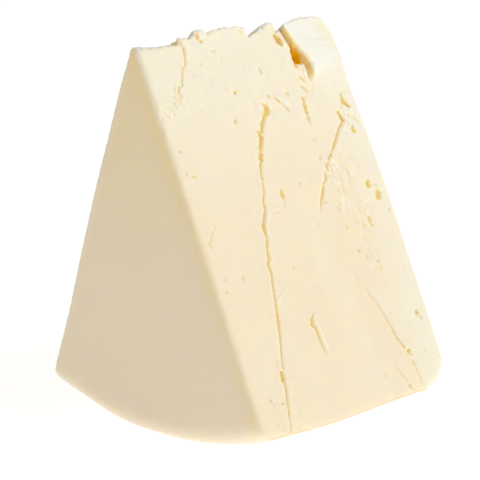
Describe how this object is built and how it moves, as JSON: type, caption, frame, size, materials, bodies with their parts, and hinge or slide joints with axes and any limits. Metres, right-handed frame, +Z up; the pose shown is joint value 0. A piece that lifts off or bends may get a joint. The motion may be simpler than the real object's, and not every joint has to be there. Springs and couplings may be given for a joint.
{
  "type": "cheese wedge",
  "caption": "Wedge of pale semi-hard cheese, a sector of a small wheel stood on its curved rind, with cracked cut faces and a crumbled tip.",
  "frame": {"origin": "middle of the flat foot on the rind that the wedge rests on", "axes": "+Z up, from the rind to the tip; Y along the axis of the wheel that the wedge was cut from; X across the sector, with the cracked cut on the +X side"},
  "size_m": [0.0856, 0.078, 0.1109],
  "materials": {
    "cheese": "moist satin cheese, ivory with ochre in the cracks and holes, light passing through thin edges"
  },
  "bodies": {
    "root": {"cheese_wedge": "cheese"}
  },
  "joints": []
}
